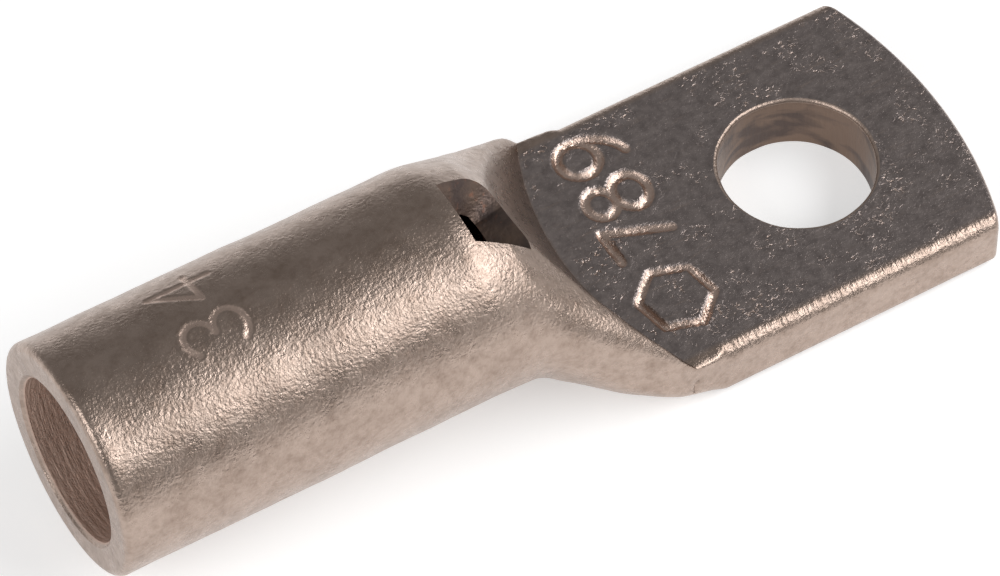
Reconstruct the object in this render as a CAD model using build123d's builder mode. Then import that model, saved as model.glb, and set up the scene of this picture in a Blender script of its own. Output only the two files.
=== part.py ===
from build123d import *
import math
import os

# Copper tube lug for a stranded conductor: one length of tube, pressed flat at one end.
# Origin: on the palm's underside, on the axis of the stud hole. +X runs from the barrel
# to the tip, +Z is up, out of the palm's top face. Millimetres.

# Tube that the lug is cut from
tube_diameter = 8.5
tube_wall = 1.25
mouth_rounding = 0.28
bore_lead_in = 0.15

# Lengths along the lug, measured from the stud hole's axis
hole_to_mouth = 28.7
hole_to_tip = 5.7
hole_to_palm = 6.2
barrel_length = 13.05

# Palm: the pressed end, its tip cut round
palm_width = 11.46
palm_thickness = 2.35
palm_top_rounding = 0.3
palm_bottom_rounding = 0.5
tip_radius = 16.2

# Stud hole, punched downwards, so that its upper rim is drawn in
stud_hole_diameter = 5.5
stud_hole_rim_rounding = 0.25

# The press sinks the palm below the tube's lowest line
palm_drop = 0.85

# Round nose of the upper press tool, which leaves the step above the palm. It strikes a
# little to the +Y side of the middle plane.
nose_radius = 11.9
nose_reach = 9.18
nose_offset = 0.3
nose_draft = 27

# Window through which the end of the conductor is seen. A pointed punch leaves it, a little
# to the -Y side of the middle plane. Its depth is below the tube's top line.
barrel_to_window = 2.15
window_offset = 0.3
window_depth = 2.3

# How far the punch's five corners lie from its point where they cross the level of the
# tube's top line, along and across, in window depths, once round from the mouth's +Y side
window_corners = ((-0.15, 0.60), (1.82, 1.29), (5.00, 0.50), (3.20, -2.37), (-0.16, -0.56))

# Worked out from the sizes above
tube_radius = tube_diameter / 2
bore_radius = tube_radius - tube_wall
axis_height = tube_radius + palm_drop
mouth_x = -hole_to_mouth
barrel_end_x = mouth_x + barrel_length
palm_start_x = -hole_to_palm
neck_length = palm_start_x - barrel_end_x
half_palm = palm_width / 2
tube_top = axis_height + tube_radius
nose_height = tube_diameter
window_x = barrel_end_x + barrel_to_window

# The first part of the neck is still round, as a share of its length
round_share = 0.12

# How far the tube is squeezed at five places along the neck. Shares of the neck's length,
# of the widening, of the top's fall and of the bottom's; the radii of the upper and lower
# corners, as shares of the tube's radius; and the angles off the vertical at which the
# crown above and the one below run into their corners.
squeezes = (
    (0.31, 0.00, 0.09, 0.00, 0.82, 0.95, 28, 28),
    (0.44, 0.26, 0.28, 0.20, 0.50, 0.72, 25, 19),
    (0.63, 0.66, 0.54, 0.78, 0.34, 0.30, 17, 18),
    (0.82, 1.02, 0.82, 0.97, 0.18, 0.20, 7.5, 9),
    (0.93, 1.00, 0.90, 0.98, 0.12, 0.15, 5.5, 6.5),
)

# The cavity inside the neck. Shares of the neck's length, of the bore's radius across and
# up, and how far its middle sinks, as a share of the tube's radius.
cavity_squeezes = (
    (0.00, 1.00, 1.00, 0.00),
    (round_share, 1.00, 1.00, 0.00),
    (0.27, 1.02, 0.92, 0.06),
    (0.35, 1.07, 0.68, 0.24),
    (0.43, 1.12, 0.46, 0.41),
    (0.50, 1.16, 0.28, 0.60),
    (0.55, 1.18, 0.16, 0.75),
)


def cross_plane(x):
    """The plane square to the lug at x, its own x towards +Y and its own y up."""
    return Plane(origin=(x, 0, 0), x_dir=(0, 1, 0), z_dir=(1, 0, 0))


def round_section(x, crown_angle=30, side_angle=3):
    """The round tube, its outline broken where the squeezed sections have their corners."""
    corner_angle = 90 - crown_angle - side_angle
    half = (crown_angle, corner_angle, 2 * side_angle, corner_angle, crown_angle)
    arcs = []
    angle = 90
    # One arc for each arc or line of a squeezed section
    for sweep_angle in half + half:
        arc = CenterArc((0, axis_height), tube_radius, angle, -sweep_angle)
        arcs.append(cross_plane(x) * arc)
        angle -= sweep_angle
    return Face(Wire(arcs))


def squeezed_section(x, half_width, top, bottom, corners, crown_ends):
    """The tube part way to flat: crowned above and below, with round corners between.

    corners and crown_ends give the corners' radii and the angles at which the crowns run
    into them, the upper one first. A crown is then as round as its corners leave it.
    """
    top_corner, bottom_corner = corners
    top_end, bottom_end = crown_ends

    def crown_radius(corner, angle):
        return corner + (half_width - corner) / math.sin(math.radians(angle))

    def corner_drop(corner, crown, angle):
        """How far a corner's centre lies from the crown's highest or lowest point."""
        return crown - (crown - corner) * math.cos(math.radians(angle))

    top_crown = crown_radius(top_corner, top_end)
    bottom_crown = crown_radius(bottom_corner, bottom_end)
    upper = top - corner_drop(top_corner, top_crown, top_end)
    lower = bottom + corner_drop(bottom_corner, bottom_crown, bottom_end)
    upper_centre = (half_width - top_corner, upper)
    lower_centre = (half_width - bottom_corner, lower)
    with BuildLine(cross_plane(x)) as outline:
        CenterArc((0, top - top_crown), top_crown, 90, -top_end)
        CenterArc(upper_centre, top_corner, 90 - top_end, top_end - 90)
        Line((half_width, upper), (half_width, lower))
        CenterArc(lower_centre, bottom_corner, 0, bottom_end - 90)
        CenterArc((0, bottom + bottom_crown), bottom_crown, bottom_end - 90, -bottom_end)
        mirror(about=Plane.XZ)
    return Face(outline.wire())


def palm_section(x):
    """The pressed palm, flat above and below."""
    upper = palm_thickness - palm_top_rounding
    upper_across = half_palm - palm_top_rounding
    lower_across = half_palm - palm_bottom_rounding
    with BuildLine(cross_plane(x)) as outline:
        Line((0, palm_thickness), (upper_across, palm_thickness))
        CenterArc((upper_across, upper), palm_top_rounding, 90, -90)
        Line((half_palm, upper), (half_palm, palm_bottom_rounding))
        CenterArc((lower_across, palm_bottom_rounding), palm_bottom_rounding, 0, -90)
        Line((lower_across, 0), (0, 0))
        mirror(about=Plane.XZ)
    return Face(outline.wire())


def neck_sections():
    """Sections of the neck, where the round tube widens and sinks into the flat palm."""
    bottom = axis_height - tube_radius
    drop = tube_top - palm_thickness
    widening = half_palm - tube_radius
    sections = [
        round_section(barrel_end_x),
        round_section(barrel_end_x + round_share * neck_length),
    ]
    for along, spread, sink, lowering, top_corner, bottom_corner, *crown_ends in squeezes:
        sections.append(
            squeezed_section(
                barrel_end_x + along * neck_length,
                tube_radius + spread * widening,
                tube_top - sink * drop,
                bottom - lowering * palm_drop,
                (top_corner * tube_radius, bottom_corner * tube_radius),
                crown_ends,
            )
        )
    sections.append(palm_section(palm_start_x))
    return sections


def cavity_sections():
    """Sections of the bore past the barrel, where the wall above comes down onto the one below."""
    sections = []
    for along, width, height, centre in cavity_squeezes:
        with BuildSketch(cross_plane(barrel_end_x + along * neck_length)) as section:
            with Locations((0, axis_height - centre * tube_radius)):
                Ellipse(width * bore_radius, height * bore_radius)
        sections.append(section.sketch)
    return sections


with BuildPart() as cable_lug:
    # Barrel, neck and palm
    with BuildSketch(cross_plane(mouth_x)):
        with Locations((0, axis_height)):
            Circle(tube_radius)
    extrude(amount=barrel_length)
    loft(sections=neck_sections())
    extrude(palm_section(palm_start_x), amount=hole_to_palm + hole_to_tip, dir=(1, 0, 0))

    # Step left by the round nose of the press tool
    with Locations((nose_radius - nose_reach, nose_offset, palm_thickness)):
        Cone(
            bottom_radius=nose_radius,
            top_radius=nose_radius + nose_height * math.tan(math.radians(nose_draft)),
            height=nose_height,
            align=(Align.CENTER, Align.CENTER, Align.MIN),
            mode=Mode.SUBTRACT,
        )

    # Round tip
    with BuildSketch():
        with Locations((hole_to_tip - tip_radius, 0)):
            Circle(tip_radius)
            Rectangle(2 * tip_radius, 2 * palm_width, align=(Align.MAX, Align.CENTER))
    extrude(amount=axis_height + tube_diameter, mode=Mode.INTERSECT)

    # Bore and the cavity it runs out into
    with BuildSketch(cross_plane(mouth_x)):
        with Locations((0, axis_height)):
            Circle(bore_radius)
    extrude(amount=barrel_length, mode=Mode.SUBTRACT)
    loft(sections=cavity_sections(), mode=Mode.SUBTRACT)

    # Window, struck from above until its point breaks into the cavity
    with BuildSketch(Plane(origin=(window_x, -window_offset, tube_top))) as window:
        with BuildLine():
            Polyline(
                [(window_depth * along, window_depth * across) for along, across in window_corners],
                close=True,
            )
        make_face()
    window_point = Vertex(window_x, -window_offset, tube_top - window_depth)
    loft(sections=[window.sketch, window_point], mode=Mode.SUBTRACT)

    # Stud hole
    with Locations((0, 0, palm_thickness)):
        Hole(stud_hole_diameter / 2, depth=palm_thickness)

    # Edges of the mouth, the stud hole and the tip
    mouth_edges = cable_lug.edges().group_by(Axis.X)[0].sort_by(SortBy.RADIUS)
    chamfer(mouth_edges[0], bore_lead_in)
    mouth_edges = cable_lug.edges().group_by(Axis.X)[0].sort_by(SortBy.RADIUS)
    fillet(mouth_edges[-1], mouth_rounding)
    rim_edges = cable_lug.edges().filter_by(GeomType.CIRCLE).filter_by(
        lambda edge: math.isclose(edge.radius, stud_hole_diameter / 2)
    )
    fillet(rim_edges.sort_by(Axis.Z)[-1], stud_hole_rim_rounding)

cable_lug.part.label = "cable_lug"

os.makedirs("parts", exist_ok=True)
export_step(cable_lug.part, "parts/cable_lug.step")
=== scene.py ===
import math

import bmesh
import bpy
import numpy as np
from bpy.props import FloatProperty, FloatVectorProperty, PointerProperty
from mathutils import Matrix, Quaternion, Vector


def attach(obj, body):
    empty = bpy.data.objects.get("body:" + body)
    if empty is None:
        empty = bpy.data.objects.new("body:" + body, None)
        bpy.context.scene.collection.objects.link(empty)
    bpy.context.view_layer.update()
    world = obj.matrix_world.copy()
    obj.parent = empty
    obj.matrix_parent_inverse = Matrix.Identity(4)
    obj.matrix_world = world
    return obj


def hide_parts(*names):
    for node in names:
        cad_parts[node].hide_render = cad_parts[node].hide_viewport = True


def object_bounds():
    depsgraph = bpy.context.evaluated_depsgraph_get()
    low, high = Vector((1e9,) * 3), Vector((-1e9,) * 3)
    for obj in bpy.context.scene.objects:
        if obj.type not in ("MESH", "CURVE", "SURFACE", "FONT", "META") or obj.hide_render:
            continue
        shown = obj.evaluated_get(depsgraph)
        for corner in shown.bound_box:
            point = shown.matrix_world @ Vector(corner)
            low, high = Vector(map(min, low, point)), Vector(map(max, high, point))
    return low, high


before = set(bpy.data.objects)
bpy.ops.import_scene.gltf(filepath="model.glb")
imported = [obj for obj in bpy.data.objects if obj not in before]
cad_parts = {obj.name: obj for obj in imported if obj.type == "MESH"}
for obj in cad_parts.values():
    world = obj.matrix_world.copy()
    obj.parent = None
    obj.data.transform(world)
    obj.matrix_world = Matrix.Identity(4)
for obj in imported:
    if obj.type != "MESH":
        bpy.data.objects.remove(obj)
cad_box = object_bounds()

bl_info = {
    "name": "Tube lug",
    "version": (1, 0, 0),
    "blender": (4, 5, 0),
    "location": "View3D > Sidebar > Tube lug",
    "description": "A tinned copper tube lug, drawn, pressed, punched and stamped, on a plain studio floor",
    "category": "Add Mesh",
}

MM = 0.001
LUG_NODE = "cable_lug"

# The solid's box gives the mouth, the tip and the widest that the surface may be
mouth_x = cad_box[0].x / MM
tip_x = cad_box[1].x / MM
box_low = np.array(cad_box[0]) / MM
box_high = np.array(cad_box[1]) / MM

# Stations along the neck, as shares of its length, and the form of the section at each:
# shares of the widening, of the top's fall and of the bottom's; radii of the upper and
# lower corners, as shares of the tube's radius; and the angles at which the crowns end.
neck_stations = (0.00, 0.12, 0.31, 0.44, 0.63, 0.82, 0.93, 1.00)
neck_spread = (0.00, 0.00, 0.00, 0.26, 0.66, 1.00, 1.00, 1.00)
neck_sink = (0.00, 0.00, 0.09, 0.28, 0.54, 0.82, 0.91, 1.00)
neck_lowering = (0.00, 0.00, 0.00, 0.20, 0.78, 0.97, 0.98, 1.00)
neck_top_corner = (1.00, 1.00, 0.82, 0.50, 0.34, 0.20, 0.16, 0.15)
neck_bottom_corner = (1.00, 1.00, 0.95, 0.72, 0.30, 0.20, 0.15, 0.118)
neck_top_end = (50, 50, 44, 34, 19, 7.5, 4, 0.1)
neck_bottom_end = (50, 50, 44, 26, 19, 9, 4, 0.1)

# The cavity past the bore: shares of the neck's length, of the bore's radius across and
# up, and how far its middle sinks, as a share of the tube's radius
cavity_stations = (0.00, 0.12, 0.27, 0.35, 0.43, 0.50, 0.55)
cavity_width = (1.00, 1.00, 1.02, 1.07, 1.12, 1.16, 1.18)
cavity_height = (1.00, 1.00, 0.92, 0.68, 0.46, 0.28, 0.00)
cavity_sink = (0.00, 0.00, 0.06, 0.24, 0.41, 0.60, 0.75)

# Corners of the punched window from its deepest point, in window depths, along and across
window_corners = ((-0.15, 0.60), (1.82, 1.13), (5.00, 0.50), (3.20, -2.37), (-0.16, -0.56))

# Length of the window punch's flat bottom, which is a quarter as wide
window_edge = 1.0

# Hairline crack where the neck's near flank was folded: place along and up, and its size
crack_place = (-7.6, 1.3)
crack_length = 0.8
crack_width = 0.05
crack_depth = 0.09

# The wear's layers of noise: height, size across, and which noise it is. The whole is
# drawn in a little, to keep its bumps inside the solid's box.
wear_layers = ((0.030, 3.1, 1), (0.016, 1.3, 2), (0.006, 0.55, 3))
wear_inset = 0.02

# The tip's small round, where the shear drew the metal in
tip_rounding = 0.2

# Faces that meet at more than this angle meet at a sharp edge
sharp_angle = math.radians(38)

# Where the soft boxes aim, the middle of the lug, in metres
lug_middle = Vector((-6 * MM, 0, 4 * MM))

# How brightly the white board shows of its own, where it is looked at
board_glow = 0.42

# The camera's direction from the lug and its roll in degrees, its place in metres, its lens
camera_azimuth = -31.253976
camera_elevation = 53.402506
camera_roll = 0.565351
camera_place = (-0.089615124, -0.127963193, 0.204853722)
camera_lens = 266.45


def linear(hex_colour):
    """An sRGB colour written as six hex digits, as linear red, green and blue."""
    levels = [int(hex_colour[i : i + 2], 16) / 255 for i in (1, 3, 5)]
    return tuple(v / 12.92 if v <= 0.04045 else ((v + 0.055) / 1.055) ** 2.4 for v in levels)


# Sizes and colours that a user would change


def length(name, description, millimetres):
    """A length that a user may change."""
    return FloatProperty(
        name=name, description=description, default=millimetres * MM, unit="LENGTH", precision=6
    )


def colour(name, description, hex_colour):
    """A colour that a user may change."""
    return FloatVectorProperty(
        name=name, description=description, default=linear(hex_colour), subtype="COLOR"
    )


class LugSizes(bpy.types.PropertyGroup):
    """Sizes of the lug."""

    tube_diameter: length("Tube diameter", "Outside of the tube", 8.5)
    tube_wall: length("Tube wall", "Thickness of the tube's wall", 1.25)
    barrel_length: length("Barrel length", "Mouth to the start of the neck", 13.05)
    hole_to_palm: length("Hole to neck", "Stud hole to the end of the neck", 6.2)
    palm_width: length("Palm width", "Width of the pressed end", 11.46)
    palm_thickness: length("Palm thickness", "Both walls pressed together", 2.35)
    palm_drop: length("Palm drop", "Palm's underside below the tube's lowest line", 0.85)
    tip_radius: length("Tip radius", "Roundness of the tip seen from above", 16.2)
    hole_diameter: length("Stud hole", "Diameter of the punched hole", 5.5)
    rim_rounding: length("Rim rounding", "Draw-in round the hole's upper rim", 0.16)
    mouth_rounding: length("Mouth rounding", "Rounding outside the mouth", 0.28)
    lead_in: length("Lead-in", "Chamfer inside the mouth", 0.15)
    nose_radius: length("Nose radius", "Round nose of the press tool", 11.9)
    nose_reach: length("Nose reach", "Stud hole to the nose's foremost point", 9.18)
    nose_offset: length("Nose offset", "Nose to the side of the middle plane", 0.3)
    nose_draft: FloatProperty(
        name="Nose draft",
        description="Slope of the nose's wall",
        default=math.radians(27),
        subtype="ANGLE",
    )
    window_reach: length("Window place", "End of the barrel to the window's deepest point", 2.15)
    window_offset: length("Window offset", "Window to the side of the middle plane", 0.3)
    window_depth: length("Window depth", "Below the tube's top line", 2.3)
    palm_stamp: length("Palm stamping", "Depth of the numerals in the palm", 0.13)
    barrel_stamp: length("Barrel stamping", "Depth of the numerals in the barrel", 0.045)


class LugColours(bpy.types.PropertyGroup):
    """Colours of the metal."""

    tin: colour("Tin", "Tumbled tin over copper", "#b4a195")
    # Stained tin: bloom on the tube, and the brown base of the hole's wall and the window's facets, where
    # it is partly painted shade
    stain: colour("Stained tin", "Brown bloom where the tin has aged", "#836f62")
    pressed: colour("Pressed tin", "Grey tin burnished by the press", "#aca09c")
    # Dark tin: random dark clouds on the pressed faces, and painted shade on the hole's wall and the
    # window's facets
    dark: colour("Dark tin", "Oily film in the pressed face's hollows", "#4e4646")
    # Struck tin: fresh metal, lighter partly as a painted highlight in the numerals and a painted glint in
    # the pits
    struck: colour("Struck tin", "Fresh metal in the struck numerals", "#d0b8aa")
    # Bare copper: copper showing through, and also the painted copper glints on the window's facets
    copper: colour("Bare copper", "Copper showing through a torn edge", "#b3795f")


class StageSettings(bpy.types.PropertyGroup):
    """Floor and light."""

    floor: colour("Floor", "Pale studio floor", "#f2f2f2")
    room: FloatProperty(
        name="Room light", description="Brightness of the room's walls", default=0.27
    )
    key: FloatProperty(
        name="Key light", description="Brightness of the long soft box", default=3.8
    )
    fill: FloatProperty(
        name="Fill light", description="Brightness of the side soft box", default=3.6
    )


# Forms


def smooth_curve(t, stations, values):
    """Value at t on a smooth curve through the stations.

    A cubic runs from each station to the next. Its slope at a station is the harmonic mean
    of the two chords that meet there, and nought at a peak and at both ends, so the curve
    never swings past its stations.
    """
    stations = np.asarray(stations, float)
    values = np.asarray(values, float)
    gap = np.diff(stations)
    chord = np.diff(values) / gap
    slope = np.zeros_like(values)
    same_way = chord[:-1] * chord[1:] > 0
    total = np.where(same_way, chord[:-1] + chord[1:], 1)
    slope[1:-1] = np.where(same_way, 2 * chord[:-1] * chord[1:] / total, 0)
    t = np.clip(t, stations[0], stations[-1])
    i = np.clip(np.searchsorted(stations, t, side="right") - 1, 0, len(gap) - 1)
    u = (t - stations[i]) / gap[i]
    return (
        (1 + 2 * u) * (1 - u) ** 2 * values[i]
        + u * (1 - u) ** 2 * gap[i] * slope[i]
        + u * u * (3 - 2 * u) * values[i + 1]
        + u * u * (u - 1) * gap[i] * slope[i + 1]
    )


def ramp(t, low, high):
    """0 below low, 1 above high, and an S curve, 3u^2 - 2u^3, between them."""
    u = np.clip((t - low) / (high - low), 0, 1)
    return u * u * (3 - 2 * u)


def value_noise(points, size, seed):
    """Smooth noise from -1 to 1, with bumps about size across.

    Space is cut into cubes of that size. Each corner has a fixed number, the fraction of a
    large sine, and a point takes the mean of its cube's eight corners, weighted by an S
    curve along each axis.
    """
    p = points / size
    cell = np.floor(p)
    f = p - cell
    f = f * f * (3 - 2 * f)
    total = np.zeros(p.shape[:-1])
    for corner in range(8):
        step = np.array((corner & 1, corner >> 1 & 1, corner >> 2 & 1), float)
        weight = np.prod(np.where(step > 0, f, 1 - f), axis=-1)
        wave = np.sin((cell + step) @ np.array((127.1, 311.7, 74.7)) + seed * 19.19) * 43758.5453
        total += weight * (wave - np.floor(wave))
    return 2 * total - 1


def to_polyline(across, up, line):
    """Distance of each point to a polyline: the least of its distances to the segments."""
    line = np.asarray(line, float)
    best = np.full(across.shape, np.inf)
    for (ax, ay), (bx, by) in zip(line[:-1], line[1:]):
        dx, dy = bx - ax, by - ay
        share = np.clip(((across - ax) * dx + (up - ay) * dy) / (dx * dx + dy * dy), 0, 1)
        best = np.minimum(best, np.hypot(across - ax - share * dx, up - ay - share * dy))
    return best


def arc(x, y, wide, high, start, end, count=20):
    """Points along an ellipse's arc about x, y, from one angle in degrees to another."""
    turn = np.radians(np.linspace(start, end, count))
    return np.stack([x + wide * np.cos(turn), y + high * np.sin(turn)], axis=-1)


# Strokes of the plain numerals, in a box one high, and of a plain hexagon
numerals = {
    "3": (arc(0.36, 0.75, 0.27, 0.25, 150, -90, 16), arc(0.36, 0.25, 0.31, 0.25, 90, -150, 16)),
    "4": (((0.52, 0.0), (0.52, 1.0), (0.05, 0.32), (0.72, 0.32)),),
    "7": (((0.06, 1.0), (0.66, 1.0), (0.26, 0.0)),),
    "8": (arc(0.36, 0.77, 0.25, 0.23, 0, 360), arc(0.36, 0.27, 0.31, 0.27, 0, 360)),
    "9": (arc(0.36, 0.70, 0.30, 0.30, 0, 360), arc(0.08, 0.66, 0.58, 0.66, 4, -78, 14)),
    "hexagon": (arc(0.5, 0.5, 0.5, 0.5, 12, 372, 7),),
}

# Struck marks: figure, the place of its lower left corner, its height and the half width
# of its stroke. The palm's are along and across, the barrel's along and round the tube.
palm_marks = (
    ("7", (-5.15, -0.75), 2.3, 0.22),
    ("8", (-4.95, 1.05), 2.35, 0.22),
    ("9", (-4.75, 3.05), 2.45, 0.22),
    ("hexagon", (-5.25, -4.15), 2.7, 0.18),
)
barrel_marks = (
    ("3", (-22.05, -1.45), 2.3, 0.15),
    ("4", (-22.15, 0.75), 2.3, 0.15),
)


class Ring:
    """How the columns of the grid run round a section: top, +Y side, bottom, -Y side.

    Half a section is three stretches: the upper crown, the flank with its two corners, and
    the lower crown. A column lies at a share of its stretch, and the far half mirrors the
    near one.
    """

    def __init__(self, crown, flank):
        counts = (crown, flank, crown)
        stretch = np.append(np.repeat(np.arange(3), counts), 2)
        share = np.append(np.concatenate([np.arange(n) / n for n in counts]), 1.0)
        half = len(stretch) - 1
        order = np.concatenate([np.arange(half + 1), np.arange(half - 1, 0, -1)])
        column = np.arange(2 * half)
        self.count = 2 * half
        self.stretch = stretch[order]
        self.share = share[order]
        self.sign = np.where(column <= half, 1.0, -1.0)
        self.partner = np.where(column <= half, half - order, (order + half) % (2 * half))


class Lug:
    """The lug's sizes in millimetres, and what its surface is worked out from."""

    def __init__(self, sizes):
        for name in LugSizes.__annotations__:
            setattr(self, name, getattr(sizes, name) / MM)
        self.nose_draft = sizes.nose_draft
        self.radius = self.tube_diameter / 2
        self.bore = self.radius - self.tube_wall
        self.half_palm = self.palm_width / 2
        self.axis = self.radius + self.palm_drop
        self.top = self.axis + self.radius
        self.barrel_end = mouth_x + self.barrel_length
        self.palm_start = -self.hole_to_palm
        self.neck = self.palm_start - self.barrel_end
        self.window_x = self.barrel_end + self.window_reach

    def neck_share(self, x):
        """How far along the neck x lies, as a share of its length."""
        return (x - self.barrel_end) / self.neck

    def section(self, x, ring, inset=0.0):
        """Across and up of the outer surface at x, for each column of the ring.

        Each half is a crown, a corner arc, a straight side, a corner arc and a crown. A
        crown's radius is what its corner and the angle of their meeting leave it. Columns
        stand at even angles on a crown and at even distances along the flank. An inset
        draws the whole outline in by that much.
        """
        t = self.neck_share(x)
        widening = self.half_palm - self.radius
        half = self.radius + smooth_curve(t, neck_stations, neck_spread) * widening - inset
        fall = self.top - self.palm_thickness
        top = self.top - smooth_curve(t, neck_stations, neck_sink) * fall - inset
        lowering = smooth_curve(t, neck_stations, neck_lowering) * self.palm_drop
        bottom = self.axis - self.radius - lowering + inset

        def corner_arc(corners, ends):
            corner = np.maximum(smooth_curve(t, neck_stations, corners) * self.radius - inset, 0.01)
            end = np.radians(smooth_curve(t, neck_stations, ends))
            crown = corner + (half - corner) / np.sin(end)
            return corner, end, crown, crown - (crown - corner) * np.cos(end)

        corner_t, end_t, crown_t, drop_t = corner_arc(neck_top_corner, neck_top_end)
        corner_b, end_b, crown_b, drop_b = corner_arc(neck_bottom_corner, neck_bottom_end)
        upper = top - drop_t
        lower = bottom + drop_b
        share = ring.share
        quarter = math.pi / 2
        upper_arc = corner_t * (quarter - end_t)
        side_end = upper_arc + upper - lower
        along = share * (side_end + corner_b * (quarter - end_b))
        angle_t = end_t + np.minimum(along, upper_arc) / corner_t
        angle_b = quarter - np.maximum(along - side_end, 0) / corner_b
        on_side = (half + 0 * share, upper + upper_arc - along)
        on_lower = (
            half - corner_b + corner_b * np.sin(angle_b),
            lower - corner_b * np.cos(angle_b),
        )
        on_upper = (
            half - corner_t + corner_t * np.sin(angle_t),
            upper + corner_t * np.cos(angle_t),
        )
        flank = [
            np.where(along < upper_arc, first, np.where(along < side_end, second, third))
            for first, second, third in zip(on_upper, on_side, on_lower)
        ]
        angle_0 = share * end_t
        angle_2 = (1 - share) * end_b
        across = [crown_t * np.sin(angle_0), flank[0], crown_b * np.sin(angle_2)]
        crown_up = top - crown_t * (1 - np.cos(angle_0))
        crown_down = bottom + crown_b * (1 - np.cos(angle_2))
        up = [crown_up, flank[1], crown_down]
        pick = np.broadcast_to(ring.stretch, across[0].shape)
        return np.choose(pick, across) * ring.sign, np.choose(pick, up)

    def nose_away(self, x, y):
        """How far x, y lies outside the press tool's round foot."""
        middle = self.nose_radius - self.nose_reach
        return np.hypot(x - middle, y - self.nose_offset) - self.nose_radius

    def nose_height(self, x, y):
        """Height of the press tool above x, y: flat over the palm, a cone's wall round it."""
        away = np.maximum(self.nose_away(x, y), 0)
        return self.palm_thickness + away / math.tan(self.nose_draft)

    def nose_arc(self, y):
        """How far the nose's foremost line curves back at y."""
        return self.nose_radius - np.sqrt(self.nose_radius**2 - (y - self.nose_offset) ** 2)

    def tip_arc(self, y):
        """How far the round tip falls back at y."""
        return self.tip_radius - np.sqrt(self.tip_radius**2 - y * y)

    def bowed(self, row, y):
        """x of a row at y. Rows curve with the nose's foremost line and with the round tip."""
        nose = ramp(row, self.palm_start - 7.0, -self.nose_reach - 1.2)
        nose = nose * (1 - ramp(row, -self.nose_reach + 0.3, -4.8))
        tip = ramp(row, -4.0, tip_x)
        return row + nose * self.nose_arc(y) - tip * self.tip_arc(y)

    def outer(self, rows, ring, inset=0.0):
        """The outer surface: each row's section, with the nose's dent pressed into it.

        x depends on y and y on x, so the two are worked out three times over. A point above
        the press tool comes down onto it, rounded off where the two surfaces cross, and more
        so at the palm's corners.
        """
        row = rows[:, None] + np.zeros(ring.count)
        inset = np.broadcast_to(np.asarray(inset, float).reshape(-1, 1), row.shape)
        x = row
        for _ in range(3):
            y, z = self.section(x, ring, inset)
            x = self.bowed(row, y)
        limit = self.nose_height(x, y)
        # The rounding's width grows from 0.02 mm at the palm to 0.18 mm up the wall, and the
        # two corners have 0.5 mm more
        corner = ramp(np.abs(y), self.half_palm - 1.2, self.half_palm - 0.4)
        before = self.palm_start - x
        corner = corner * ramp(before, 0.0, 0.8) * (1 - ramp(before, 1.6, 2.6))
        blend = 0.02 + 0.16 * ramp(before, 0.0, 1.6) + 0.5 * corner
        mix = np.clip(0.5 + 0.5 * (z - limit) / blend, 0, 1)
        lowered = z * (1 - mix) + limit * mix - blend * mix * (1 - mix)
        upper = (ring.stretch < 2) & (x > self.barrel_end) & (x < self.palm_start)
        return np.stack([x, y, np.where(upper, np.minimum(z, lowered), z)], axis=-1)

    def inner(self, rows, ring):
        """The bore and the cavity: ellipses whose middle sinks and whose height dies away."""
        x = rows[:, None] + np.zeros(ring.count)
        t = self.neck_share(x)
        y, z = self.section(np.full_like(x, mouth_x), ring)
        wide = smooth_curve(t, cavity_stations, cavity_width) * self.bore
        high = smooth_curve(t, cavity_stations, cavity_height) * self.bore
        middle = self.axis - smooth_curve(t, cavity_stations, cavity_sink) * self.radius
        z = middle + (z - self.axis) / self.radius * high
        return np.stack([x, y / self.radius * wide, z], axis=-1)

    def mouth(self, ring):
        """The mouth's edge, turned about the tube's axis: a chamfer, a flat and a quarter round."""
        turn = np.linspace(0, math.pi / 2, 8)
        round_start = self.radius - self.mouth_rounding
        flat = np.linspace(self.bore + self.lead_in, round_start, 7)[:-1]
        rounded = round_start + self.mouth_rounding * np.sin(turn)
        radius = np.concatenate([[self.bore, self.bore + self.lead_in / 2], flat, rounded])
        back = self.mouth_rounding * (1 - np.cos(turn))
        depth = np.concatenate([[self.lead_in, self.lead_in / 2], 0 * flat, back])
        y, z = self.section(np.full((1, ring.count), mouth_x), ring)
        share = radius[:, None] / self.radius
        x = mouth_x + depth[:, None] + np.zeros(ring.count)
        return np.stack([x, share * y, self.axis + share * (z - self.axis)], axis=-1)

    def tip(self, ring):
        """The sheared tip: a small round, then the end face drawn together to its middle line.

        A point moves towards the mean of itself and its partner below, and in from the
        side, so that the face closes on a line half a thickness short of each side.
        """
        turn = np.linspace(0, math.pi / 2, 6)[1:]
        rows = tip_x - tip_rounding + tip_rounding * np.sin(turn)
        edge = self.outer(rows, ring, tip_rounding * (1 - np.cos(turn)))
        last = edge[-1]
        middle = (last + last[ring.partner]) / 2
        middle[:, 1] *= 1 - self.palm_thickness / self.palm_width
        shares = np.array((0.85, 0.7, 0.5, 0.25, 0.0))[:, None, None]
        face = middle + (last - middle) * shares
        face[..., 0] = tip_x - self.tip_arc(face[..., 1])
        return np.concatenate([edge, face])

    def struck(self, points):
        """Depth of the struck marks at each point, and minus the height of their thrown-up rims.

        A stroke is a smooth groove, (1 - u^2)^1.5 of its depth at u half strokes from its
        middle line. A low rim stands along its edge. Slow noise makes both uneven.
        """
        x, y, z = np.moveaxis(points, -1, 0)
        round_tube = self.radius * np.arctan2(y, z - self.axis)
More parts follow.
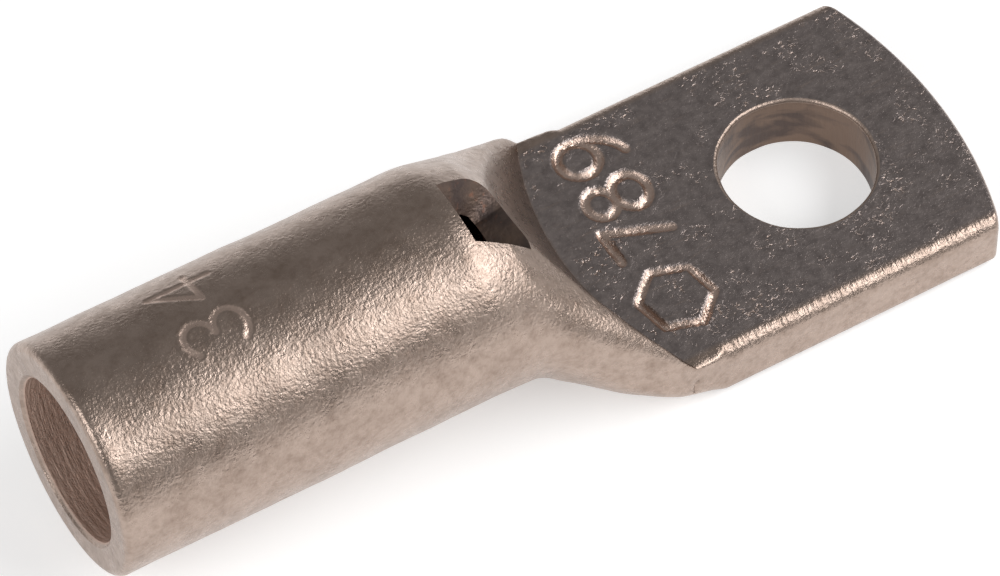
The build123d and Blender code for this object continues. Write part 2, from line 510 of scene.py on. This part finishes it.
        # The palm's marks lie on the metal's upper side, between the neck and the hole
        on_palm = (z > self.palm_thickness * 0.6) & (x > -9.5) & (x < -self.hole_diameter / 2)
        on_barrel = (z > self.axis) & (x < self.barrel_end)
        depth = np.zeros(x.shape)
        for marks, here, around, deep in (
            (palm_marks, on_palm, y, self.palm_stamp),
            (barrel_marks, on_barrel, round_tube, self.barrel_stamp),
        ):
            for figure, (low, left), high, half_stroke in marks:
                near = here & (np.abs(x - low + high / 2) < high)
                near = near & (np.abs(around - left - high / 3) < high)
                right = around[near] - left
                up = low - x[near]
                lines = [np.asarray(line) * high for line in numerals[figure]]
                away = np.min([to_polyline(right, up, line) for line in lines], axis=0)
                away = away / half_stroke
                groove = deep * np.clip(1 - away**2, 0, 1) ** 1.5
                rim = 0.22 * deep * np.exp(-(((away - 1.3) / 0.35) ** 2))
                before = depth[near]
                depth[near] = np.where(away < 1, np.maximum(before, groove), before - rim)
        return depth * (1 + 0.35 * value_noise(points, 0.4, 9))

    def worn(self, points):
        """The outer surface with its marks, its crack and its wear, moved along its normals.

        The wear is the sum of the layers of noise, a quarter as high on the palm, and fades
        out at both ends.
        """
        along = np.gradient(points, axis=0)
        around = np.roll(points, -1, axis=1) - np.roll(points, 1, axis=1)
        normal = np.cross(along, around)
        normal /= np.linalg.norm(normal, axis=-1, keepdims=True) + 1e-12
        x = points[..., 0]
        ends = ramp(x, mouth_x + 0.3, mouth_x + 1.0) * (1 - ramp(x, tip_x - 1.0, tip_x - 0.4))
        loose = 0.25 + 0.75 * (1 - ramp(x, -self.nose_reach, self.palm_start))
        wear = sum(high * value_noise(points, size, seed) for high, size, seed in wear_layers)
        crack_x = crack_place[0] + 0.05 * np.sin(points[..., 2] * 9)
        off = np.abs(points[..., 2] - crack_place[1]) / crack_length * 2
        crack = crack_depth * np.exp(-(((x - crack_x) / crack_width) ** 2))
        crack = crack * (1 - ramp(off, 0.6, 1.0)) * (points[..., 1] < -self.radius)
        shift = ends * (loose * (wear - wear_inset) - self.struck(points) - crack)
        moved = points + normal * shift[..., None]
        return np.clip(moved, box_low, box_high)


def steps(*stretches):
    """Row places along the lug: each stretch runs from its start to its end by about its step."""
    coarse = 1.0
    places = []
    for start, end, step in stretches:
        count = max(1, round(abs(end - start) / (step * coarse)))
        places.append(np.linspace(start, end, count, endpoint=False))
    return np.concatenate(places)


def tube_grid(lug, ring):
    """The whole lug as one sheet, from the cavity's closed end out of the mouth to the tip."""
    cavity_end = lug.barrel_end + cavity_stations[-1] * lug.neck
    tip_start = tip_x - tip_rounding
    inside = steps(
        (cavity_end, lug.barrel_end, 0.25),
        (lug.barrel_end, mouth_x + lug.lead_in, 1.2),
    )
    # Rows lie closest at the barrel's marks, along the neck, and at the palm's marks
    outside = steps(
        (mouth_x + lug.mouth_rounding, -24.9, 0.19),
        (-24.9, -21.8, 0.065),
        (-21.8, -14.8, 0.19),
        (-14.8, -8.4, 0.085),
        (-8.4, -4.5, 0.06),
        (-4.5, tip_start, 0.17),
    )[1:]
    return np.concatenate([
        lug.inner(inside, ring),
        lug.mouth(ring),
        lug.worn(lug.outer(np.append(outside, tip_start), ring)),
        lug.tip(ring),
    ])


def grid_faces(rows, columns):
    """Quads between each row and the next, closed round the columns."""
    index = np.arange(rows * columns).reshape(rows, columns)
    right = np.roll(index, -1, axis=1)
    return np.stack([index[:-1], right[:-1], right[1:], index[1:]], axis=-1).reshape(-1, 4)


def mesh_object(name, points, faces):
    """A closed mesh object: points in millimetres, doubles merged, faces turned outwards."""
    mesh = bpy.data.meshes.new(name)
    places = np.asarray(points, float).reshape(-1, 3) * MM
    mesh.from_pydata(places.tolist(), [], np.asarray(faces).tolist())
    obj = bpy.data.objects.new(name, mesh)
    bpy.context.scene.collection.objects.link(obj)
    bm = bmesh.new()
    bm.from_mesh(mesh)
    bmesh.ops.remove_doubles(bm, verts=bm.verts, dist=0.001 * MM)
    bmesh.ops.recalc_face_normals(bm, faces=bm.faces)
    bm.to_mesh(mesh)
    bm.free()
    return obj


def hole_punch(lug):
    """The stud hole as a solid: a profile turned about the hole's axis.

    Straight up to the rim, then a quarter round outwards where the metal was drawn in. The
    wall is not quite even: it swells and shrinks by a hundredth of a millimetre or two.
    """
    radius = lug.hole_diameter / 2
    below, above = -0.6, lug.palm_thickness + 1
    rim = lug.palm_thickness - lug.rim_rounding
    turn = np.linspace(0, math.pi / 2, 8)
    straight = np.linspace(below, rim, 18)[:-1]
    out = radius + lug.rim_rounding
    rounded_r = out - lug.rim_rounding * np.cos(turn)
    rounded_z = rim + lug.rim_rounding * np.sin(turn)
    profile_r = np.concatenate([[0], np.full(len(straight), radius), rounded_r, [out, 0]])
    profile_z = np.concatenate([[below], straight, rounded_z, [above, above]])
    angle = np.linspace(0, 2 * math.pi, 120, endpoint=False)
    points = np.stack([
        profile_r[:, None] * np.cos(angle),
        profile_r[:, None] * np.sin(angle),
        profile_z[:, None] + 0 * angle,
    ], axis=-1)
    swell = 1 + 0.007 * value_noise(points * (1, 1, 0.4), 0.7, 5)
    points = points * np.stack([swell, swell, np.ones_like(swell)], axis=-1)
    return mesh_object("hole_punch", points, grid_faces(*points.shape[:2]))


def window_punch(lug):
    """The window's pointed punch: rings that widen from its small bottom to its rim.

    The rim is straight between its corners, apart from the far side, a quadratic curve
    that passes the second corner at 0.4 of its way. It lies 0.6 mm above the tube's top
    line. A rim point starts from the nearest place on the bottom.
    """
    bottom = lug.top - lug.window_depth
    rise = lug.top + 0.6 - bottom
    corners = np.array(window_corners) * rise
    count = 14
    share = np.arange(count)[:, None] / count
    t = np.arange(2 * count)[:, None] / (2 * count)
    passing = 0.4
    held = (1 - passing) ** 2 * corners[0] + passing**2 * corners[2]
    pull = (corners[1] - held) / (2 * passing * (1 - passing))
    far_side = (1 - t) ** 2 * corners[0] + 2 * t * (1 - t) * pull + t**2 * corners[2]
    sides = [corners[i] + share * (corners[(i + 1) % 5] - corners[i]) for i in (2, 3, 4)]
    rim = np.concatenate([far_side, *sides])
    foot_corner = np.array((window_edge / 8, window_edge / 2))
    foot = np.clip(rim, -foot_corner, foot_corner)
    up = np.linspace(0, 1, 30)[:, None]
    x = lug.window_x + foot[:, 0] + up * (rim - foot)[:, 0]
    y = foot[:, 1] + up * (rim - foot)[:, 1] - lug.window_offset
    rings = np.stack([x, y, bottom + rise * up + 0 * x], axis=-1)
    rough = 0.02 * value_noise(rings, 0.6, 7) * np.minimum(up * 8, 1)
    rings = rings + rough[..., None] * (0, 0.7, 0.7)
    lid = np.repeat(rings[-1:].mean(axis=1, keepdims=True), rings.shape[1], axis=1)
    start = rings[:1] * (0, 0, 1) + (lug.window_x, -lug.window_offset, 0)
    rings = np.concatenate([start, rings, lid])
    return mesh_object("window_punch", rings, grid_faces(*rings.shape[:2]))


def cut(obj, *cutters):
    """Takes the cutters out of the object for good. A cut face keeps its cutter's material."""
    for cutter in cutters:
        modifier = obj.modifiers.new("cut", "BOOLEAN")
        modifier.operation = "DIFFERENCE"
        modifier.solver = "MANIFOLD"
        modifier.material_mode = "TRANSFER"
        modifier.object = cutter
        before = len(obj.data.polygons)
        graph = bpy.context.evaluated_depsgraph_get()
        mesh = bpy.data.meshes.new_from_object(obj.evaluated_get(graph))
        if len(mesh.polygons) == before:
            raise RuntimeError(cutter.name + " cut nothing")
        obj.modifiers.clear()
        old = obj.data
        obj.data = mesh
        bpy.data.meshes.remove(old)
        bpy.data.objects.remove(cutter)


def paint(obj, lug):
    """Marks each point, from 0 to 1, by what was done to the metal where it lies.

    pressed: under the press tool's flat faces; wall: the slope that the tool's nose left;
    struck: in a numeral, and below 0 on the rim thrown up round it; inside: the bore, as
    far as the window; rubbed: the palm's upper edges and the hole's rim.
    """
    mesh = obj.data
    points = np.empty(len(mesh.vertices) * 3)
    mesh.vertices.foreach_get("co", points)
    points = points.reshape(-1, 3) / MM
    normals = np.empty(len(mesh.vertices) * 3)
    mesh.vertex_normals.foreach_get("vector", normals)
    normals = normals.reshape(-1, 3)
    x, y, z = points.T
    away = lug.nose_away(x, y)
    over = ramp(x, lug.palm_start - 1.0, lug.palm_start)
    top_face = ramp(normals[:, 2], 0.6, 0.9) * ramp(-away, -0.12, 0.1)
    bottom_face = ramp(-normals[:, 2], 0.6, 0.9) * over
    tube = np.hypot(y, z - lug.axis)
    in_bore = (tube < lug.bore + 0.05) & (x < lug.window_x)
    rim = 1 - ramp(np.hypot(x, y), lug.hole_diameter / 2 + 0.15, lug.hole_diameter / 2 + 0.3)
    on_wall = (away > 0) & (away < 2.6) & (x < lug.palm_start + 0.5)
    on_wall = on_wall & (np.abs(z - lug.nose_height(x, y)) < 0.2)
    edge = ramp(np.abs(y), lug.half_palm - 0.62, lug.half_palm - 0.42)
    edge = edge * ramp(z, lug.palm_thickness - 0.7, lug.palm_thickness - 0.35)
    deep = np.where(x < lug.barrel_end, lug.barrel_stamp, lug.palm_stamp) / 2
    values = {
        "pressed": np.maximum(top_face, bottom_face) * (1 - edge),
        "wall": on_wall,
        "struck": np.clip(lug.struck(points) / deep, -1, 1),
        "inside": in_bore,
        "rubbed": np.maximum(edge * over, rim * (z > lug.palm_thickness - lug.rim_rounding)),
    }
    for name, value in values.items():
        attribute = mesh.attributes.new(name, "FLOAT", "POINT")
        attribute.data.foreach_set("value", np.asarray(value, np.float32))


# Materials

NOISE = "ShaderNodeTexNoise"
RANGE = "ShaderNodeMapRange"
MATHS = "ShaderNodeMath"
MAPPING = "ShaderNodeMapping"
MIX = "ShaderNodeMix"

# A Mix node's inputs for its share and its two colours, and what makes it mix colours
SHARE, UNDER, OVER = 0, 6, 7
OF_COLOURS = {"data_type": "RGBA", "output": 2}


def add_node(tree, kind, values=None, output=0, **settings):
    """Adds a node with its settings, and returns one of its outputs.

    Values go into its inputs: a socket is linked, and anything else is set.
    """
    node = tree.nodes.new(kind)
    for key, value in settings.items():
        setattr(node, key, value)
    for key, value in (values or {}).items():
        if isinstance(value, bpy.types.NodeSocket):
            tree.links.new(value, node.inputs[key])
        else:
            node.inputs[key].default_value = value
    return node.outputs[output] if node.outputs else None


def per_mm(size):
    """A texture's scale for features of that size in millimetres."""
    return 1 / (size * MM)


def opaque(*colours):
    """Colours with an alpha of 1."""
    return [(*value, 1) for value in colours]


def new_material(name):
    """An empty material, its node tree and its Object coordinates."""
    material = bpy.data.materials.new(name)
    material.use_nodes = True
    tree = material.node_tree
    tree.nodes.clear()
    return material, tree, add_node(tree, "ShaderNodeTexCoord", output="Object")


def tin_plate(colours):
    """Electroplated tin on annealed copper tube, tumbled before it was pressed.

    To the eye: a satin, warm grey metal. Fine grain breaks its highlights into sparkling
    flecks, brown bloom mottles it, the pressed faces are darker and scuffed, with bright
    pits partly painted as glints, the bore is scored round its mouth, and fresh marks show
    pink, partly as painted highlight.
    """
    material, tree, place = new_material("tumbled_tin_plate_on_copper")
    pressed, wall, struck, inside, rubbed = (
        add_node(tree, "ShaderNodeAttribute", output="Fac", attribute_name=name)
        for name in ("pressed", "wall", "struck", "inside", "rubbed")
    )
    tin, stain, dull, dark, fresh = opaque(
        colours.tin, colours.stain, colours.pressed, colours.dark, colours.struck
    )

    # Brown bloom: patches 1.1 mm across, and flecks of 0.25 mm
    values = {"Vector": place, "Scale": per_mm(1.1), "Detail": 6.0, "Roughness": 0.68}
    patches = add_node(tree, NOISE, values)
    values = {"Value": patches, "From Min": 0.42, "From Max": 0.70, "To Max": 0.42}
    patches = add_node(tree, RANGE, values)
    values = {"Vector": place, "Scale": per_mm(0.25), "Detail": 3.0, "Roughness": 0.6}
    flecks = add_node(tree, NOISE, values)
    values = {"Value": flecks, "From Min": 0.45, "From Max": 0.70, "To Max": 0.30}
    flecks = add_node(tree, RANGE, values)
    bloom = add_node(tree, MATHS, {0: patches, 1: flecks}, operation="ADD")
    shade = add_node(tree, MIX, {SHARE: bloom, UNDER: tin, OVER: stain}, **OF_COLOURS)

    # Pressed faces: grey, lightly clouded
    values = {"Vector": place, "Scale": per_mm(0.4), "Detail": 6.0, "Roughness": 0.7}
    clouds = add_node(tree, NOISE, values)
    values = {"Value": clouds, "From Min": 0.36, "From Max": 0.70, "To Max": 0.50}
    clouds = add_node(tree, RANGE, values)
    face = add_node(tree, MIX, {SHARE: clouds, UNDER: dull, OVER: dark}, **OF_COLOURS)

    # Their scratches, ten times as long as they are wide
    values = {"Vector": place, "Scale": (0.1, 1, 1), "Rotation": (0, 0, 0.3)}
    drawn = add_node(tree, MAPPING, values)
    scratches = add_node(tree, NOISE, {"Vector": drawn, "Scale": per_mm(0.1), "Detail": 2.0})
    values = {"Value": scratches, "From Min": 0.60, "From Max": 0.74, "To Max": 0.35}
    scratches = add_node(tree, RANGE, values)
    face = add_node(tree, MIX, {SHARE: scratches, UNDER: face, OVER: tin}, **OF_COLOURS)

    # Their pits of 0.16 mm, in swarms: dents in the lighter struck tin, bright partly as fresh metal and
    # partly as painted glints
    values = {"Vector": place, "Scale": per_mm(0.16), "Detail": 2.0, "Distortion": 0.6}
    spots = add_node(tree, NOISE, values)
    spots = add_node(tree, RANGE, {"Value": spots, "From Min": 0.57, "From Max": 0.70})
    swarms = add_node(tree, NOISE, {"Vector": place, "Scale": per_mm(1.4), "Detail": 4.0})
    swarms = add_node(tree, RANGE, {"Value": swarms, "From Min": 0.48, "From Max": 0.66})
    pits = add_node(tree, MATHS, {0: spots, 1: swarms}, operation="MULTIPLY")
    pits = add_node(tree, MATHS, {0: pits, 1: pressed}, operation="MULTIPLY")
    face = add_node(tree, MIX, {SHARE: pits, UNDER: face, OVER: fresh}, **OF_COLOURS)
    shade = add_node(tree, MIX, {SHARE: pressed, UNDER: shade, OVER: face}, **OF_COLOURS)

    # The nose's wall, the struck strokes and the bore
    wall = add_node(tree, MATHS, {0: wall, 1: 0.35}, operation="MULTIPLY")
    shade = add_node(tree, MIX, {SHARE: wall, UNDER: shade, OVER: stain}, **OF_COLOURS)
    # Numerals in the lighter struck tin: fresh metal, and partly a painted highlight where the groove walls
    # catch the light
    strokes = add_node(tree, RANGE, {"Value": struck, "From Min": 0.1, "From Max": 0.8})
    shade = add_node(tree, MIX, {SHARE: strokes, UNDER: shade, OVER: fresh}, **OF_COLOURS)
    shade = add_node(tree, MIX, {SHARE: inside, UNDER: shade, OVER: fresh}, **OF_COLOURS)

    # Grain of 0.13 mm over ripples of 0.5 mm. Ridges 0.13 mm apart run across the rubbed
    # edges, and round the bore, where they are coarser than the real ones.
    values = {"Vector": place, "Scale": per_mm(0.13), "Detail": 3.0, "Roughness": 0.6}
    grain = add_node(tree, NOISE, values)
    ripple = add_node(tree, NOISE, {"Vector": place, "Scale": per_mm(0.5), "Detail": 3.0})
    across = add_node(tree, MAPPING, {"Vector": place, "Scale": (1, 0.15, 0.15)})
    ridges = add_node(tree, NOISE, {"Vector": across, "Scale": per_mm(0.13), "Detail": 2.0})
    height = add_node(tree, MATHS, {0: ripple, 1: 0.35, 2: grain}, operation="MULTIPLY_ADD")
    scored = add_node(tree, MATHS, {0: inside, 1: 1.6, 2: rubbed}, operation="MULTIPLY_ADD")
    height = add_node(tree, MATHS, {0: ridges, 1: scored, 2: height}, operation="MULTIPLY_ADD")
    height = add_node(tree, MATHS, {0: pits, 1: -1.2, 2: height}, operation="MULTIPLY_ADD")
    values = {"Height": height, "Strength": 1.0, "Distance": 0.03 * MM}
    bump = add_node(tree, "ShaderNodeBump", values)

    values = {"Vector": place, "Scale": per_mm(0.5), "Detail": 4.0, "Roughness": 0.6}
    gloss = add_node(tree, NOISE, values)
    values = {"Value": gloss, "From Min": 0.3, "From Max": 0.7, "To Min": 0.23, "To Max": 0.36}
    gloss = add_node(tree, RANGE, values)
    gloss = add_node(tree, MATHS, {0: pressed, 1: 0.02, 2: gloss}, operation="MULTIPLY_ADD")
    gloss = add_node(tree, MATHS, {0: inside, 1: 0.42, 2: gloss}, operation="MULTIPLY_ADD")
    values = {"Base Color": shade, "Metallic": 1.0, "Roughness": gloss, "Normal": bump}
    shader = add_node(tree, "ShaderNodeBsdfPrincipled", values)
    add_node(tree, "ShaderNodeOutputMaterial", {"Surface": shader})
    return material


def sheared_wall(colours):
    """The hole's wall: copper sheared by a punch and plated thinly.

    To the eye: dull brown, partly the sheared copper and partly painted shade, with dark patches of painted
    dark reflection, fine vertical scoring, and a bright line of rubbed tin round its upper rim.
    """
    material, tree, place = new_material("sheared_and_plated_copper")
    rubbed = add_node(tree, "ShaderNodeAttribute", output="Fac", attribute_name="rubbed")
    tin, stain, dark = opaque(colours.tin, colours.stain, colours.dark)

    # Painted dark reflection: patches 2 mm across, and flatter than they are long
    painted_dark_patches = add_node(tree, MAPPING, {"Vector": place, "Scale": (1, 1, 2.2)})
    values = {"Vector": painted_dark_patches, "Scale": per_mm(2.0), "Detail": 4.0, "Distortion": 0.6}
    painted_dark_patches = add_node(tree, NOISE, values)
    values = {"Value": painted_dark_patches, "From Min": 0.48, "From Max": 0.62, "To Max": 0.7}
    painted_dark_patches = add_node(tree, RANGE, values)
    # Painted shade: the stain brown, darkened towards dark tin in the patches, stands in for the hole's
    # shade over the copper's own brown
    shade = add_node(tree, MIX, {SHARE: painted_dark_patches, UNDER: stain, OVER: dark}, **OF_COLOURS)
    shade = add_node(tree, MIX, {SHARE: rubbed, UNDER: shade, OVER: tin}, **OF_COLOURS)

    # Upright scores 0.15 mm apart
    upright = add_node(tree, MAPPING, {"Vector": place, "Scale": (1, 1, 0.1)})
    scores = add_node(tree, NOISE, {"Vector": upright, "Scale": per_mm(0.15), "Detail": 3.0})
    values = {"Height": scores, "Strength": 1.0, "Distance": 0.03 * MM}
    bump = add_node(tree, "ShaderNodeBump", values)
    values = {"Base Color": shade, "Metallic": 1.0, "Roughness": 0.42, "Normal": bump}
    shader = add_node(tree, "ShaderNodeBsdfPrincipled", values)
    add_node(tree, "ShaderNodeOutputMaterial", {"Surface": shader})
    return material


def torn_wall(colours):
    """The window's facets: tin smeared by a punch, with copper showing through where it tore.

    To the eye: brown and satin, clouded dark by painted shade, finely streaked, with copper spots that are
    partly copper showing through and partly painted glints.
    """
    material, tree, place = new_material("torn_copper")
    stain, dark, copper = opaque(colours.stain, colours.dark, colours.copper)

    # Painted shade in dark clouds 0.9 mm across, never less than a fifth dark, and painted copper glints of
    # 0.35 mm
    painted_dark_patches = add_node(tree, NOISE, {"Vector": place, "Scale": per_mm(0.9), "Detail": 4.0})
    values = {"Value": painted_dark_patches, "From Min": 0.35, "From Max": 0.65, "To Min": 0.2, "To Max": 0.8}
    painted_dark_patches = add_node(tree, RANGE, values)
    shade = add_node(tree, MIX, {SHARE: painted_dark_patches, UNDER: stain, OVER: dark}, **OF_COLOURS)
    values = {"Vector": place, "Scale": per_mm(0.35), "Detail": 4.0, "Roughness": 0.6}
    copper_and_painted_glints = add_node(tree, NOISE, values)
    values = {"Value": copper_and_painted_glints, "From Min": 0.58, "From Max": 0.74, "To Max": 0.4}
    copper_and_painted_glints = add_node(tree, RANGE, values)
    shade = add_node(tree, MIX, {SHARE: copper_and_painted_glints, UNDER: shade, OVER: copper}, **OF_COLOURS)

    streaks = add_node(tree, NOISE, {"Vector": place, "Scale": per_mm(0.15), "Detail": 3.0})
    values = {"Height": streaks, "Strength": 1.0, "Distance": 0.03 * MM}
    bump = add_node(tree, "ShaderNodeBump", values)
    values = {"Base Color": shade, "Metallic": 1.0, "Roughness": 0.45, "Normal": bump}
    shader = add_node(tree, "ShaderNodeBsdfPrincipled", values)
    add_node(tree, "ShaderNodeOutputMaterial", {"Surface": shader})
    return material


def white_board(colour):
    """Matt white board, lit a little from within where eye, metal or glass looks at it.

    To the eye: plain white, and it still takes the lug's shadow.
    """
    material, tree, _ = new_material("matt_white_board")
    camera, glossy, through = (
        add_node(tree, "ShaderNodeLightPath", output=name)
        for name in ("Is Camera Ray", "Is Glossy Ray", "Is Transmission Ray")
    )
    seen = add_node(tree, MATHS, {0: camera, 1: glossy}, operation="MAXIMUM")
    seen = add_node(tree, MATHS, {0: seen, 1: through}, operation="MAXIMUM")
    level = add_node(tree, MATHS, {0: seen, 1: board_glow}, operation="MULTIPLY")
    matt = add_node(tree, "ShaderNodeBsdfDiffuse", {"Color": (*colour, 1)})
    values = {"Color": (1, 1, 1, 1), "Strength": level}
    lit = add_node(tree, "ShaderNodeEmission", values)
    both = add_node(tree, "ShaderNodeAddShader", {0: matt, 1: lit})
    add_node(tree, "ShaderNodeOutputMaterial", {"Surface": both})
    return material


# Operators


class AddLug(bpy.types.Operator):
    """Builds the dressed lug in place of its plain solid"""

    bl_idname = "tube_lug.add_lug"
    bl_label = "Add the lug"

    def execute(self, context):
        lug = Lug(context.scene.lug_sizes)
        crown_columns, flank_columns = ((48, 27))
        grid = tube_grid(lug, Ring(crown_columns, flank_columns))
        body = mesh_object("lug_surface", grid, grid_faces(*grid.shape[:2]))
        hole, window = hole_punch(lug), window_punch(lug)
        colours = context.scene.lug_colours
        body.data.materials.append(tin_plate(colours))
        hole.data.materials.append(sheared_wall(colours))
        window.data.materials.append(torn_wall(colours))
        cut(body, hole, window)
        paint(body, lug)
        body.data.polygons.foreach_set("use_smooth", np.ones(len(body.data.polygons), bool))
        body.data.set_sharp_from_angle(angle=sharp_angle)
        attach(body, "root")
        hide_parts(LUG_NODE)
        return {"FINISHED"}


class AddStage(bpy.types.Operator):
    """Adds the floor, the soft boxes, the room and the camera"""

    bl_idname = "tube_lug.add_stage"
    bl_label = "Add the stage"

    def execute(self, context):
        scene = context.scene
        settings = scene.lug_stage
        # The floor lies a hair under the palm, so that the two faces never flicker together
        half, level = 0.9, -0.02 * MM
        corners = [(half * x, half * y, level) for x, y in ((-1, -1), (1, -1), (1, 1), (-1, 1))]
        mesh = bpy.data.meshes.new("floor")
        mesh.from_pydata(corners, [], [(0, 1, 2, 3)])
        mesh.materials.append(white_board(settings.floor))
        floor = bpy.data.objects.new("floor", mesh)
        scene.collection.objects.link(floor)

        world = bpy.data.worlds.new("studio_room")
        world.use_nodes = True
        background = world.node_tree.nodes["Background"]
        background.inputs["Color"].default_value = (1, 1, 1, 1)
        background.inputs["Strength"].default_value = settings.room
        scene.world = world

        soft_box("key_box", toward(54, 43) * 0.22, size=(0.25, 0.11), level=settings.key)
        soft_box("fill_box", toward(-80, 38) * 0.50, size=(0.26, 0.26), level=settings.fill)
        add_camera(scene)
        scene.view_settings.view_transform = "Standard"
        return {"FINISHED"}


def toward(azimuth, elevation):
    """The direction at an azimuth in degrees from -Y towards +X, and at an elevation."""
    a, e = math.radians(azimuth), math.radians(elevation)
    return Vector((math.sin(a) * math.cos(e), -math.cos(a) * math.cos(e), math.sin(e)))


def soft_box(name, away, size, level):
    """A soft box facing the lug's middle, of that size and brightness, where 1 is white."""
    light = bpy.data.lights.new(name, "AREA")
    light.shape = "RECTANGLE"
    light.size = size[0]
    light.size_y = size[1]
    light.energy = level * size[0] * size[1] * math.pi
    obj = bpy.data.objects.new(name, light)
    obj.location = lug_middle + away
    obj.rotation_euler = away.to_track_quat("Z", "Y").to_euler()
    bpy.context.scene.collection.objects.link(obj)


def add_camera(scene):
    """The camera, looking from its azimuth and elevation, and rolled about its own line."""
    data = bpy.data.cameras.new("camera")
    data.sensor_width = 36
    data.lens = camera_lens
    data.clip_start = 0.01
    data.clip_end = 5
    back = toward(camera_azimuth, camera_elevation)
    roll = Quaternion((0, 0, 1), math.radians(camera_roll))
    turn = back.to_track_quat("Z", "Y") @ roll
    camera = bpy.data.objects.new("camera", data)
    camera.matrix_world = Matrix.Translation(camera_place) @ turn.to_matrix().to_4x4()
    scene.collection.objects.link(camera)
    scene.camera = camera


class LugPanel(bpy.types.Panel):
    """Sizes, colours and steps of the lug, in the 3D view's sidebar"""

    bl_idname = "VIEW3D_PT_tube_lug"
    bl_label = "Tube lug"
    bl_space_type = "VIEW_3D"
    bl_region_type = "UI"
    bl_category = "Tube lug"

    def draw(self, context):
        layout = self.layout
        for group in (context.scene.lug_sizes, context.scene.lug_colours, context.scene.lug_stage):
            for name in group.__annotations__:
                layout.prop(group, name)
        layout.operator(AddLug.bl_idname)
        layout.operator(AddStage.bl_idname)


classes = (LugSizes, LugColours, StageSettings, AddLug, AddStage, LugPanel)


def register():
    for cls in classes:
        bpy.utils.register_class(cls)
    bpy.types.Scene.lug_sizes = PointerProperty(type=LugSizes)
    bpy.types.Scene.lug_colours = PointerProperty(type=LugColours)
    bpy.types.Scene.lug_stage = PointerProperty(type=StageSettings)


def unregister():
    del bpy.types.Scene.lug_stage
    del bpy.types.Scene.lug_colours
    del bpy.types.Scene.lug_sizes
    for cls in reversed(classes):
        bpy.utils.unregister_class(cls)


def main():
    register()
    bpy.ops.tube_lug.add_lug()
    bpy.ops.tube_lug.add_stage()


if __name__ == "__main__":
    main()
